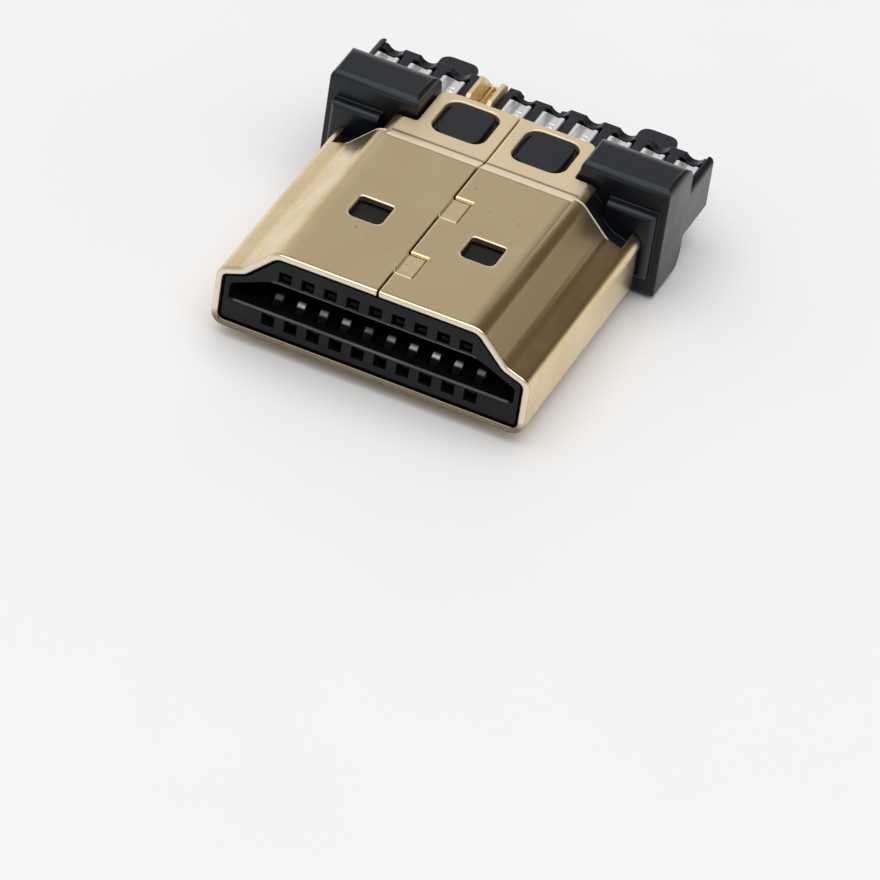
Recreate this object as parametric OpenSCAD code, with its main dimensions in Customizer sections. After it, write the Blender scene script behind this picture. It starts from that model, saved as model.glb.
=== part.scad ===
// Solder-type cable plug: a folded sheet shell around a mating insulator, a rear block
// with two combs, and two rows of stamped contacts that end in solder cups.
// Sizes are in millimetres. Depth runs back from the shell's front edge, and height
// is counted from the mid-plane of the plug.

/* [Shell section] */
// outer width across the side walls
shell_w = 13.9; // [13.4:0.05:14.4]
// outer height from the wide side to the narrow side
shell_h = 4.45; // [4.3:0.05:4.7]
// thickness of the sheet
sheet_t = 0.3; // [0.24:0.01:0.34]
// width of the narrow side between its bends
crown_w = 9.1; // [8.8:0.05:9.3]
// width between the inward bends of the slanted sides
waist_w = 11.7; // [11.4:0.02:11.9]
// height of the inward bends
waist_z = 0.88; // [0.8:0.01:0.95]
// height of the shoulders at the side walls
shoulder_z = 0.47; // [0.4:0.01:0.6]
// outer bend radius of the narrow side
crown_r = 0.8; // [0.7:0.05:1]
// outer bend radius of the inward bends
waist_r = 0.6; // [0.4:0.05:0.8]
// outer bend radius of the shoulders and of the wide side
corner_r = 0.55; // [0.45:0.05:0.7]

/* [Shell lengths] */
// length of the side walls
side_l = 11.2; // [10.8:0.05:11.8]
// distance of the inward step ahead of the side walls' rear edges
step_back = 1.23; // [1.15:0.01:1.3]
// length of the sloping step
step_run = 0.75; // [0.6:0.05:0.85]
// amount by which the sheet steps inward
step_drop = 0.25; // [0.15:0.01:0.3]
// distance by which the slanted sides reach behind the start of the step
slant_l = 0.35; // [0.2:0.05:0.45]
// width of the shoulder tabs
shoulder_tab_w = 0.45; // [0.35:0.01:0.55]
// height of the shoulder tabs
shoulder_tab_h = 0.4; // [0.3:0.01:0.5]
// reach of the shoulder tabs behind the side walls
shoulder_tab_l = 0.3; // [0.2:0.05:0.4]
// width across the tail's wide part and its bent edges
neck_w = 9.15; // [9:0.05:9.3]
// length of the tail behind the ears' front faces
tail_l = 2.45; // [2.3:0.05:2.5]
// width of the narrow tail
tail_w = 7.1; // [6.9:0.05:7.3]
// radius of the tail's rear corners
tail_r = 0.5; // [0.3:0.05:0.8]
// radius of the corners where the tail becomes narrow
neck_r = 0.15; // [0.05:0.05:0.2]

/* [Shell openings] */
// side of the square latch holes
latch_size = 1.5; // [1.3:0.05:1.7]
// distance of the latch holes from the seam
latch_x = 2.5; // [2.3:0.05:2.7]
// depth of the latch holes' centres
latch_y = 4.82; // [4.6:0.02:5]
// radius of the latch holes' front corners
latch_front_r = 0.3; // [0.1:0.05:0.4]
// radius of the latch holes' rear corners
latch_rear_r = 0.12; // [0.05:0.01:0.2]
// width of the windows in the tail
window_w = 2.42; // [2.2:0.02:2.46]
// length of the windows in the tail
window_l = 2.5; // [2.2:0.05:2.55]
// distance of the windows from the seam
window_x = 1.81; // [1.75:0.01:1.9]
// distance of the windows' centres behind the ears' front faces
window_back = 0.83; // [0.75:0.01:0.88]
// radius of the windows' corners
window_r = 0.6; // [0.4:0.05:0.7]
// width of the seam's gap
seam_gap = 0.06; // [0.04:0.01:0.08]
// sideways reach of the seam's interlocking tabs
lock_reach = 0.8; // [0.6:0.02:0.9]
// length of the interlocking tabs
lock_l = 1.5; // [1.2:0.05:1.7]
// depth of the front interlock's centre
front_lock_y = 2.38; // [2.2:0.02:2.6]
// depth of the rear interlock's centre
rear_lock_y = 6.82; // [6.6:0.02:7.1]
// distance by which the interlocking tabs are pressed below the narrow side
coin_t = 0.1; // [0.06:0.01:0.14]

/* [Drain cup] */
// place of the drain cup in the upper comb, counted from the left
drain_place = 4; // [3:1:5]
// width of the drain cup
drain_w = 1.16; // [1.1:0.02:1.24]
// width of the slope that leads down to the drain cup
drain_neck_w = 1.06; // [0.8:0.02:1.08]
// thickness of the drain cup's walls
drain_wall = 0.2; // [0.15:0.01:0.25]
// distance of the drain cup's start behind the ears
drain_back = 0.3; // [0.25:0.05:0.4]
// reach of the drain cup past the comb's rear wall
drain_over = 0.1; // [0:0.05:0.3]
// height of the drain cup's floor
drain_floor = 0.8; // [0.75:0.01:0.9]
// height of the drain cup's rims
drain_rim = 1.45; // [1.35:0.01:1.55]

/* [Mating insulator] */
// clearance between the insulator and the sheet
fit_gap = 0.03; // [0.02:0.01:0.05]
// distance of the mating face behind the shell's front edge
face_y = 0.12; // [0.05:0.01:0.3]
// amount by which the mating face's edges are eased
face_ease = 0.08; // [0.04:0.01:0.12]
// length of the eased edges
face_ease_l = 0.25; // [0.15:0.05:0.4]
// thickness of the wall under the cavity
floor_wall = 1.07; // [1:0.01:1.1]
// thickness of the wall over the cavity
roof_wall = 1.24; // [1.15:0.01:1.26]
// thickness of the walls beside the cavity
side_wall = 0.3; // [0.25:0.01:0.4]
// width of the cavity's roof
cavity_roof_w = 9.3; // [9:0.05:9.4]
// height of the cavity's upright sides
cavity_side_h = 0.74; // [0.65:0.01:0.8]
// radius of the cavity's lower corners
cavity_low_r = 0.08; // [0.05:0.01:0.15]
// radius of the cavity's upper corners
cavity_high_r = 0.25; // [0.1:0.05:0.35]
// depth of the cavity's rear wall
cavity_y = 7.2; // [6.8:0.05:7.6]
// size of the lead-in at the cavity's mouth
mouth_t = 0.06; // [0.04:0.01:0.08]
// depth of the grooves in the cavity's walls
groove_t = 0.68; // [0.62:0.01:0.7]
// thickness of the lips that hold the contacts' tips down
lip_t = 0.12; // [0.1:0.01:0.16]
// length of those lips
lip_l = 0.5; // [0.42:0.01:0.55]
// clearance between a lip and a contact's tip
lip_gap = 0.05; // [0.02:0.01:0.08]

/* [Contacts] */
// number of contacts under the cavity, with one fewer over it
lower_count = 10; // [9:1:10]
// distance between neighbouring contacts at the mating face
row_pitch = 1.0; // [0.96:0.01:1.04]
// width of a contact strip
strip_w = 0.36; // [0.32:0.01:0.42]
// thickness of a contact strip
strip_t = 0.2; // [0.16:0.01:0.22]
// clearance beside a strip in its groove
groove_gap = 0.1; // [0.07:0.01:0.12]
// clearance around a strip where it is held
hold_gap = 0.02; // [0.01:0.01:0.04]
// distance by which a nose stands out into the cavity
nose_rise = 0.28; // [0.22:0.01:0.34]
// distance of the contacts' tips behind the mating face
tip_back = 0.2; // [0.15:0.01:0.3]
// distance behind a lip at which a tip starts to rise to its nose
ramp_back = 0.15; // [0.1:0.01:0.25]
// depth of the noses
nose_y = 1.25; // [1.22:0.01:1.4]
// distance of a sprung beam's root ahead of the cavity's rear wall
root_back = 0.5; // [0.3:0.05:0.8]
// bend radius of the noses
nose_r = 0.3; // [0.2:0.05:0.35]
// bend radius at the foot of a tip's rise
ramp_r = 0.2; // [0.1:0.05:0.25]
// bend radius at a beam's root
root_r = 0.6; // [0.4:0.1:1]
// length of the step from a strip's level to its cup's level
strip_step_l = 0.35; // [0.3:0.01:0.45]
// bend radius of that step
strip_step_r = 0.2; // [0.15:0.01:0.25]

/* [Solder cups] */
// distance between neighbouring cups
cup_pitch = 1.52; // [1.49:0.01:1.54]
// outer width of a cup
cup_w = 1.0; // [0.9:0.01:1.04]
// thickness of a cup's walls
cup_wall = 0.18; // [0.14:0.01:0.2]
// height of the strips' middle where they carry a cup
cup_z = 0.72; // [0.7:0.01:0.78]
// height of the cups' rims
cup_rim = 1.26; // [1.2:0.01:1.35]
// length by which the cups reach into the ears
cup_seat = 0.5; // [0.4:0.05:0.55]
// distance of the cups' ends ahead of the comb's rear wall
cup_back = 0.47; // [0.35:0.01:0.6]
// radius of a cup's lower edges
cup_r = 0.28; // [0.2:0.01:0.3]
// length over which a cup's end runs down and narrows
cup_tip_l = 0.55; // [0.4:0.05:0.7]
// width of a cup's end
cup_tip_w = 0.5; // [0.4:0.05:0.7]

/* [Rear block] */
// reach of the block's nose into the shell, ahead of the side walls' rear edges
nose_l = 0.45; // [0.35:0.05:0.6]
// height of the ears
block_h = 5.5; // [5.3:0.05:5.7]
// length of the ears
ear_l = 2.65; // [2.55:0.05:2.8]
// radius of the ears' rear edges
ear_rear_r = 1.0; // [0.7:0.05:1.2]
// radius of the ears' front edges
ear_front_r = 0.35; // [0.1:0.05:0.4]
// radius of the ears' side edges
ear_side_r = 0.3; // [0.2:0.05:0.5]
// clearance between the ears and the tail
ear_gap = 0.12; // [0.08:0.01:0.2]
// clearance between the tail's wide part and the ears' front faces
neck_gap = 0.2; // [0.1:0.05:0.3]
// radius of the rear edges of the bridge under the tail
bridge_r = 0.5; // [0.3:0.05:0.7]
// clearance between the shoulder tabs and the flange
seat_gap = 0.05; // [0.02:0.01:0.1]
// reach of the flange in front of the ears
flange_l = 0.5; // [0.4:0.05:0.7]
// height of the flange
flange_h = 3.2; // [3:0.05:3.4]
// distance of the flange's outer ends inside the ears' sides
flange_inset = 0.35; // [0.2:0.05:0.5]
// clearance between the flange's inner ends and the tail's bent edges
flange_gap = 0.58; // [0.4:0.01:0.7]
// radius of the flange's outer edges
flange_r = 0.25; // [0.1:0.05:0.3]
// clearance in front of and behind the bosses in the tail's windows
boss_gap = 0.07; // [0.05:0.01:0.12]
// clearance beside the bosses in the tail's windows
boss_side_gap = 0.25; // [0.15:0.01:0.3]
// distance of the bosses below the tail's outer face
boss_sink = 0.05; // [0.02:0.01:0.1]
// radius of the bosses' corners
boss_r = 0.5; // [0.3:0.05:0.6]
// length of the comb behind the ears
comb_l = 2.7; // [2.5:0.05:2.9]
// height of the comb from ridge to ridge
comb_h = 2.2; // [2.1:0.02:2.3]
// thickness of the comb's outer rails
rail_w = 0.32; // [0.28:0.01:0.4]
// height of the comb's outer rails
rail_h = 2.5; // [2.4:0.02:2.7]
// radius of the outer rails' outer edges
rail_r = 0.25; // [0.1:0.05:0.25]
// radius of the outer rails' rear corners
comb_r = 0.2; // [0.1:0.05:0.25]
// radius of the wire notches in the rear wall
notch_r = 0.45; // [0.4:0.01:0.5]
// distance of a notch's centre beyond the ridges
notch_lift = 0.23; // [0.18:0.01:0.28]
// depth of the recess in the rear wall
recess_t = 0.2; // [0.1:0.01:0.25]
// width of the recess in the rear wall
recess_w = 1.7; // [1.2:0.05:2]
// sideways place of the recess in the rear wall
recess_x = -0.1; // [-0.3:0.05:0.3]
// distance of the rear tabs from the middle
tab_x = 4.58; // [4.4:0.02:4.8]
// width of the rear tabs
tab_w = 1.75; // [1.4:0.05:1.9]
// length of the rear tabs
tab_l = 2.05; // [1.8:0.05:2.3]
// thickness of the rear tabs
tab_t = 0.75; // [0.6:0.05:0.9]
// height of the rear tabs' upper faces
tab_top = 0.05; // [-0.1:0.01:0.15]
// radius of the rear tabs' corners
tab_r = 0.45; // [0.2:0.05:0.6]

/* [Hidden] */
upper_count = lower_count - 1;
$fn = 24;
// reach of a cut past what it cuts, and overlap of shapes that form one piece
past = 1;
lap = 0.15;
// radius of a corner that stays sharp, steps of a strip's bend, and steps of a round corner
// for each millimetre of its radius
sharp = 0.02;
bend_steps = 3;
arc_rate = 8;
gold = [0.74, 0.62, 0.41];
charcoal = [0.16, 0.18, 0.21];
tin = [0.80, 0.81, 0.83];
// depths, from the front edge back to the rear tabs
step_y = side_l - step_back;
split_y = side_l - nose_l;
flange_y = side_l + shoulder_tab_l + seat_gap;
ear_y = flange_y + flange_l;
neck_y = ear_y - neck_gap;
window_y = ear_y + window_back;
tail_y = ear_y + tail_l;
ear_end = ear_y + ear_l;
comb_end = ear_end + comb_l;
overall_l = comb_end + tab_l;
// the shell's narrow side, its bends and the tail behind its step
crown_z = shell_h / 2;
crown_turn = atan2(crown_z - waist_z, (waist_w - crown_w) / 2);
crown_bend_x = crown_w / 2 - crown_r * tan(crown_turn / 2);
crown_bend_z = crown_z - crown_r;
neck_half = neck_w / 2;
step_mitre = sheet_t * tan(atan2(step_drop, step_run) / 2);
tail_top = crown_z - step_drop;
tail_under = tail_top - sheet_t;
// the mating insulator and the strips in its grooves
nose_inset = step_drop + sheet_t + fit_gap;
insulator_inset = sheet_t + fit_gap;
cavity_floor = -crown_z + insulator_inset + floor_wall;
cavity_roof = crown_z - insulator_inset - roof_wall;
cavity_half = shell_w / 2 - insulator_inset - side_wall;
lip_y = face_y + lip_l;
sink = lip_t + lip_gap;
upper_strip_z = cavity_roof + sink + strip_t / 2;
lower_strip_z = -cavity_floor + sink + strip_t / 2;
groove_w = strip_w + 2 * groove_gap;
held_w = strip_w + 2 * hold_gap;
held_t = strip_t + 2 * hold_gap;
// the cups, the comb that holds them and the strips that fan out to it
cup_places = lower_count;
cup_y = ear_end - cup_seat;
cup_end = comb_end - cup_back;
cup_floor = cup_z + strip_t / 2;
cup_under = cup_z - strip_t / 2;
strip_step_y = split_y + lap / 2;
fan_y = strip_step_y + strip_step_l + lap;
fan_end = cup_y - lap;
block_w = 2 * ((cup_places - 1) / 2 * cup_pitch + cup_w / 2 + hold_gap + rail_w);
rail_x = (block_w - rail_w) / 2;
ear_in = tail_w / 2 + ear_gap;
flange_half = block_w / 2 - flange_inset;
drain_x = (drain_place - 1 - (cup_places - 1) / 2) * cup_pitch;
drain_y = ear_end + drain_back;
drain_end = comb_end + drain_over;
drain_under = drain_floor - drain_wall;
// corners of the shell's section, anticlockwise as seen with the narrow side up
section = [
    [-shell_w / 2, -crown_z],
    [shell_w / 2, -crown_z],
    [shell_w / 2, shoulder_z],
    [waist_w / 2, waist_z],
    [crown_w / 2, crown_z],
    [-crown_w / 2, crown_z],
    [-waist_w / 2, waist_z],
    [-shell_w / 2, shoulder_z]];
section_r = [corner_r, corner_r, corner_r, waist_r, crown_r, crown_r, waist_r, corner_r];

// vector helpers
function unit(v) = v / norm(v);
function left(v) = [-v[1], v[0]];
function spin(v, a) = [v[0] * cos(a) - v[1] * sin(a), v[0] * sin(a) + v[1] * cos(a)];
function turn(u, v) = atan2(u[0] * v[1] - u[1] * v[0], u * v);
function into(p, i) = unit(p[i] - p[(i + len(p) - 1) % len(p)]);
function out(p, i) = unit(p[(i + 1) % len(p)] - p[i]);

// points of an arc that rounds the corner at p between the directions u and v
function corner_arc(p, u, v, r, n) =
    let (a = turn(u, v), start = p - u * r * tan(abs(a) / 2), mid = start + sign(a) * r * left(u))
    [for (k = [0:n]) mid + spin(start - mid, a * k / n)];

// closed outline with each corner rounded to its own radius
function steps(r) = r > sharp ? max(bend_steps, round(r * arc_rate)) : 1;
function rounded(p, r) =
    [for (i = [0:len(p) - 1]) each corner_arc(p[i], into(p, i), out(p, i), r[i], steps(r[i]))];

// open line with its inner corners rounded, each to its own radius
function bent(p, r) =
    [for (i = [0:len(p) - 1])
        each (r[i] == 0 ? [p[i]] : corner_arc(p[i], into(p, i), out(p, i), r[i], bend_steps))];

// outline of a strip of width w along an open line
function across(p, i) =
    i == 0 ? left(out(p, i)) :
    i == len(p) - 1 ? left(into(p, i)) :
    (left(into(p, i)) + left(out(p, i))) / (1 + into(p, i) * out(p, i));
function strip(p, w) = concat(
    [for (i = [0:len(p) - 1]) p[i] + across(p, i) * w / 2],
    [for (i = [len(p) - 1:-1:0]) p[i] - across(p, i) * w / 2]);

// closed outline moved inward by d
function moved_in(p, d) =
    [for (i = [0:len(p) - 1])
        p[i] + d * (left(into(p, i)) + left(out(p, i))) / (1 + into(p, i) * out(p, i))];

// the shell's section moved inward by d, with bends that stay parallel
function section_at(d) = rounded(
    moved_in(section, d),
    [for (i = [0:len(section) - 1])
        turn(into(section, i), out(section, i)) > 0 ? max(section_r[i] - d, 0.05) : section_r[i] + d]);

// rectangle outline from its two corners
function box2(a, b) = [a, [b[0], a[1]], b, [a[0], b[1]]];
function same(r) = [r, r, r, r];

// sideways place of a contact at the mating face and at its cup
function front_x(i, n) = (i - 1 - (n - 1) / 2) * row_pitch;
function place_x(k) = (k - 1 - (cup_places - 1) / 2) * cup_pitch;
function upper_place(i) = i < drain_place ? i : i + 1;

// depth and height of a strip where it steps from the insulator's level to the cup's level
function strip_step(z) = [
    [split_y - lap, z],
    [strip_step_y, z],
    [strip_step_y + strip_step_l, cup_z],
    [fan_y + lap, cup_z]];
function strip_step_bends() = [0, strip_step_r, strip_step_r, 0];

// sideways place and depth of a strip where it fans out to the comb's pitch
function fan(x, cup_x) = [
    [x, fan_y - lap],
    [x, fan_y + lap],
    [cup_x, fan_end],
    [cup_x, cup_y + lap]];

// origin under the middle, with the ears' lower faces at height zero
module place() {
    translate([0, -overall_l / 2, block_h / 2]) children();
}

// outline of depth and height, drawn across the width
module wide(w) {
    rotate([90, 0, 90]) linear_extrude(height = w, center = true) children();
}

// outline of width and height, drawn from one depth to another
module deep(y0, y1) {
    translate([0, y1, 0]) rotate([90, 0, 0]) linear_extrude(height = y1 - y0) children();
}

// outline of width and depth, drawn from one height to another
module tall(z0, z1) {
    translate([0, 0, z0]) linear_extrude(height = z1 - z0) children();
}

module both_sides() {
    children();
    mirror([1, 0, 0]) children();
}

module both_faces() {
    children();
    mirror([0, 0, 1]) children();
}

// depth and height of the stepped sheet, with its outer face given for the part ahead of the step
module stepped_sheet(top, end) {
    polygon([
        [step_y - lap, top],
        [step_y, top],
        [step_y + step_run, top - step_drop],
        [end, top - step_drop],
        [end, top - step_drop - sheet_t],
        [step_y + step_run - step_mitre, top - step_drop - sheet_t],
        [step_y - step_mitre, top - sheet_t],
        [step_y - lap, top - sheet_t]]);
}

// tail plate behind the step, with the half width of its front part given
module tail_plate(half) {
    intersection() {
        wide(2 * half) stepped_sheet(crown_z, tail_y);
        tall(0, crown_z + past) polygon(rounded(
            [
                [-half, step_y - past],
                [half, step_y - past],
                [half, neck_y],
                [tail_w / 2, neck_y],
                [tail_w / 2, tail_y],
                [-tail_w / 2, tail_y],
                [-tail_w / 2, neck_y],
                [-half, neck_y]],
            [sharp, sharp, neck_r, neck_r, tail_r, tail_r, neck_r, neck_r]));
    }
}

// edge of the tail's wide part, bent parallel to the hood's bend
module neck_bend() {
    intersection() {
        difference() {
            deep(step_y, neck_y) polygon(section_at(step_drop));
            deep(step_y - past, neck_y + past) polygon(section_at(step_drop + sheet_t));
        }
        tall(waist_z, crown_z)
            polygon(box2([crown_bend_x, step_y - past], [neck_half, neck_y + past]));
    }
}

module window_cut() {
    translate([window_x, window_y])
        polygon(rounded(
            box2([-window_w / 2, -window_l / 2], [window_w / 2, window_l / 2]),
            same(window_r)));
}

module latch_cut() {
    translate([latch_x, latch_y])
        polygon(rounded(
            box2([-latch_size / 2, -latch_size / 2], [latch_size / 2, latch_size / 2]),
            [latch_front_r, latch_front_r, latch_rear_r, latch_rear_r]));
}

// the seam's line, with both interlocks
module seam_cut() {
    polygon(strip(
        [
            [0, -past],
            [0, front_lock_y - lock_l / 2],
            [lock_reach, front_lock_y - lock_l / 2],
            [lock_reach, front_lock_y + lock_l / 2],
            [0, front_lock_y + lock_l / 2],
            [0, rear_lock_y - lock_l / 2],
            [lock_reach, rear_lock_y - lock_l / 2],
            [lock_reach, rear_lock_y + lock_l / 2],
            [0, rear_lock_y + lock_l / 2],
            [0, tail_y + past]],
        seam_gap));
}

// width and height of an open cup
module cup_section(w, under, floor, rim, wall) {
    difference() {
        polygon(rounded(box2([-w / 2, under], [w / 2, rim]), [cup_r, cup_r, sharp, sharp]));
        polygon(rounded(
            box2([-w / 2 + wall, floor], [w / 2 - wall, rim + past]),
            [cup_r - sharp, cup_r - sharp, sharp, sharp]));
    }
}

// cup at the end of the tail for a cable's bare wire
module drain_cup() {
    translate([drain_x, 0, 0]) {
        wide(drain_neck_w)
            polygon(strip(
                bent(
                    [
                        [tail_y - 2 * lap, tail_top - sheet_t / 2],
                        [tail_y + lap, tail_top - sheet_t / 2],
                        [drain_y - lap / 2, drain_floor - drain_wall / 2],
                        [drain_y + 2 * lap, drain_floor - drain_wall / 2]],
                    [0, drain_wall, drain_wall, 0]),
                drain_wall));
        intersection() {
            deep(drain_y, drain_end)
                cup_section(drain_w, drain_under, drain_floor, drain_rim, drain_wall);
            tall(0, drain_rim + past) polygon(rounded(
                box2([-drain_w / 2 - sharp, drain_y - past], [drain_w / 2 + sharp, drain_end]),
                [sharp, sharp, cup_r, cup_r]));
            wide(drain_w + past) polygon([
                [drain_y - past, 0],
                [drain_end + past, 0],
                [drain_end + past, drain_floor],
                [drain_end, drain_floor + drain_wall],
                [drain_end - cup_tip_l, drain_rim + sharp],
                [drain_y + cup_tip_l, drain_rim + sharp],
                [drain_y - lap, drain_floor]]);
        }
    }
}

// cut that takes the hood's wall away behind a depth, over a half width
module hood_cut(half, y, z) {
    tall(z, crown_z + past) polygon(box2([-half, y], [half, side_l + past]));
}

// folded hood, open at both ends
module hood() {
    difference() {
        deep(0, side_l) polygon(section_at(0));
        deep(-past, side_l + past) polygon(section_at(sheet_t));
        hood_cut(crown_bend_x, step_y - lap, crown_bend_z);
        hood_cut(shell_w / 2 - shoulder_tab_w, step_y + slant_l, shoulder_z - sheet_t);
        mirror([0, 0, 1]) hood_cut(neck_half, step_y - lap, crown_bend_z);
    }
}

// tab behind a side wall, bent with the shoulder
module shoulder_tab() {
    intersection() {
        difference() {
            deep(side_l - lap, side_l + shoulder_tab_l) polygon(section_at(0));
            deep(side_l - past, side_l + past) polygon(section_at(sheet_t));
        }
        tall(shoulder_z - shoulder_tab_h, waist_z)
            polygon(box2([shell_w / 2 - shoulder_tab_w, side_l - past], [shell_w, side_l + past]));
    }
}

module shell() {
    color(gold) place() difference() {
        union() {
            hood();
            tail_plate(crown_bend_x);
            mirror([0, 0, 1]) tail_plate(neck_half);
            both_sides() {
                neck_bend();
                shoulder_tab();
            }
            drain_cup();
        }
        tall(crown_bend_z, crown_z + past) seam_cut();
        both_faces() both_sides() {
            tall(crown_bend_z, crown_z + past) latch_cut();
            tall(tail_under - lap, crown_z + past) window_cut();
        }
        for (y = [front_lock_y, rear_lock_y])
            tall(crown_z - coin_t, crown_z + past)
                polygon(box2([0, y - lock_l / 2], [lock_reach, y + lock_l / 2]));
    }
}

// groove, front window and rear channel of one contact, for a row over the cavity
module contact_groove(x, roof, z) {
    translate([x, 0, 0]) {
        tall(0, roof + groove_t)
            polygon(box2([-groove_w / 2, lip_y], [groove_w / 2, cavity_y]));
        tall(roof + lip_t, roof + groove_t)
            polygon(box2([-groove_w / 2, face_y - past], [groove_w / 2, lip_y + lap]));
        tall(z - held_t / 2, z + held_t / 2)
            polygon(box2([-held_w / 2, cavity_y - lap], [held_w / 2, split_y + past]));
    }
}

// sloping edge where the cavity's wall meets the mating face
module mouth_cut(half, roof) {
    wide(2 * half) polygon([
        [face_y - lap, roof - lap],
        [face_y + mouth_t + lap, roof - lap],
        [face_y - lap, roof + mouth_t + lap]]);
}

module front_insulator() {
    color(charcoal) place() difference() {
        union() {
            deep(face_y, face_y + face_ease_l + lap) polygon(section_at(insulator_inset + face_ease));
            deep(face_y + face_ease_l, step_y - lap) polygon(section_at(insulator_inset));
            deep(step_y - 2 * lap, split_y) polygon(section_at(nose_inset));
        }
        deep(face_y - past, cavity_y) polygon(rounded(
            [
                [-cavity_half, cavity_floor],
                [cavity_half, cavity_floor],
                [cavity_half, cavity_floor + cavity_side_h],
                [cavity_roof_w / 2, cavity_roof],
                [-cavity_roof_w / 2, cavity_roof],
                [-cavity_half, cavity_floor + cavity_side_h]],
            [cavity_low_r, cavity_low_r, cavity_high_r, cavity_high_r, cavity_high_r, cavity_high_r]));
        mouth_cut(cavity_roof_w / 2 - cavity_high_r, cavity_roof);
        mirror([0, 0, 1]) mouth_cut(cavity_half - cavity_low_r, -cavity_floor);
        for (i = [1:upper_count])
            contact_groove(front_x(i, upper_count), cavity_roof, upper_strip_z);
        mirror([0, 0, 1])
            for (i = [1:lower_count])
                contact_groove(front_x(i, lower_count), -cavity_floor, lower_strip_z);
    }
}

// depth and height of a whole strip, from its tip to the start of its fan
function strip_line(z) = concat(
    [
        [face_y + tip_back, z],
        [lip_y + ramp_back, z],
        [nose_y, z - sink - nose_rise],
        [cavity_y - root_back, z]],
    strip_step(z));
function strip_line_bends() = concat([0, ramp_r, nose_r, root_r], strip_step_bends());

// open solder cup whose end runs down and narrows
module cup() {
    intersection() {
        deep(cup_y, cup_end) cup_section(cup_w, cup_under, cup_floor, cup_rim, cup_wall);
        tall(0, cup_rim + past) polygon([
            [-cup_w / 2 - sharp, cup_y - past],
            [cup_w / 2 + sharp, cup_y - past],
            [cup_w / 2 + sharp, cup_end - cup_tip_l],
            [cup_tip_w / 2, cup_end],
            [-cup_tip_w / 2, cup_end],
            [-cup_w / 2 - sharp, cup_end - cup_tip_l]]);
        wide(cup_w + past) polygon([
            [cup_y - past, 0],
            [cup_end + past, 0],
            [cup_end + past, cup_floor],
            [cup_end, cup_floor + sharp],
            [cup_end - cup_tip_l, cup_rim + sharp],
            [cup_y - past, cup_rim + sharp]]);
    }
}

// one stamped contact of a row over the cavity: sprung nose, held strip, fanned tail and cup
module contact(x, cup_x, z) {
    color(tin) {
        translate([x, 0, 0])
            wide(strip_w) polygon(strip(bent(strip_line(z), strip_line_bends()), strip_t));
        tall(cup_under, cup_floor) polygon(strip(fan(x, cup_x), strip_w));
        translate([cup_x, 0, 0]) cup();
    }
}

module upper_contact(i) {
    place() contact(front_x(i, upper_count), place_x(upper_place(i)), upper_strip_z);
}

module lower_contact(i) {
    place() mirror([0, 0, 1]) contact(front_x(i, lower_count), place_x(i), lower_strip_z);
}

// space in the rear block for one contact of a row over the cavity, and its wire notch
module contact_space(x, cup_x, z) {
    translate([x, 0, 0])
        wide(held_w) polygon(strip(bent(strip_step(z), strip_step_bends()), held_t));
    tall(cup_under - hold_gap, cup_floor + hold_gap) polygon(strip(fan(x, cup_x), held_w));
    translate([cup_x, 0, 0]) {
        tall(cup_under - hold_gap, cup_rim + hold_gap)
            polygon(box2(
                [-cup_w / 2 - hold_gap, cup_y - hold_gap],
                [cup_w / 2 + hold_gap, cup_end + hold_gap]));
        translate([0, cup_end - lap, comb_h / 2 + notch_lift])
            rotate([-90, 0, 0]) cylinder(r = notch_r, h = comb_end - cup_end + past);
    }
}

// space in the comb for the drain cup and the slope that leads to it
module drain_space() {
    translate([drain_x, 0, 0])
        wide(drain_w + 2 * boss_gap)
            polygon([
                [tail_y - lap, tail_under - fit_gap],
                [tail_y, tail_under - fit_gap],
                [drain_y - 2 * lap, drain_under - hold_gap],
                [comb_end + past, drain_under - hold_gap],
                [comb_end + past, block_h],
                [tail_y - lap, block_h]]);
}

module ear() {
    intersection() {
        wide(2 * block_w)
            polygon(rounded(
                box2([ear_y, -block_h / 2], [ear_end, block_h / 2]),
                [ear_front_r, ear_rear_r, ear_rear_r, ear_front_r]));
        deep(ear_y - past, ear_end + past)
            polygon(rounded(
                box2([ear_in, -block_h / 2], [block_w / 2, block_h / 2]),
                same(ear_side_r)));
    }
}

module flange() {
    intersection() {
        wide(2 * block_w)
            polygon(rounded(
                box2([flange_y, -flange_h / 2], [ear_y + 2 * lap, flange_h / 2]),
                [flange_r, sharp, sharp, flange_r]));
        tall(-flange_h, flange_h)
            polygon(rounded(
                box2([neck_half + flange_gap, flange_y], [flange_half, ear_y + 2 * lap]),
                [sharp, flange_r, sharp, sharp]));
    }
}

// boss that fills a window of the tail
module boss() {
    translate([window_x, window_y])
        polygon(rounded(
            box2(
                [-window_w / 2 + boss_side_gap, -window_l / 2 + boss_gap],
                [window_w / 2 - boss_side_gap, window_l / 2 - boss_gap]),
            same(boss_r)));
}

// bridge between the ears, under the tail on both faces
module bridge() {
    wide(2 * (ear_in + ear_side_r + lap))
        polygon(rounded(
            box2([ear_y - lap, -tail_under + fit_gap], [ear_end, tail_under - fit_gap]),
            [sharp, bridge_r, bridge_r, sharp]));
}

// comb of both faces with its outer rails
module comb() {
    tall(-comb_h / 2, comb_h / 2)
        polygon(box2([-rail_x, ear_y + 2 * lap], [rail_x, comb_end]));
    both_sides() intersection() {
        deep(ear_end - ear_front_r, comb_end)
            polygon(rounded(
                box2([block_w / 2 - rail_w, -rail_h / 2], [block_w / 2, rail_h / 2]),
                [sharp, rail_r, rail_r, sharp]));
        tall(-rail_h, rail_h)
            polygon(rounded(
                box2([0, ear_y], [block_w / 2, comb_end]),
                [sharp, sharp, comb_r, sharp]));
    }
}

module rear_tab() {
    tall(tab_top - tab_t, tab_top)
        polygon(rounded(
            box2([tab_x - tab_w / 2, comb_end - 2 * lap], [tab_x + tab_w / 2, comb_end + tab_l]),
            [sharp, sharp, tab_r, tab_r]));
}

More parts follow.
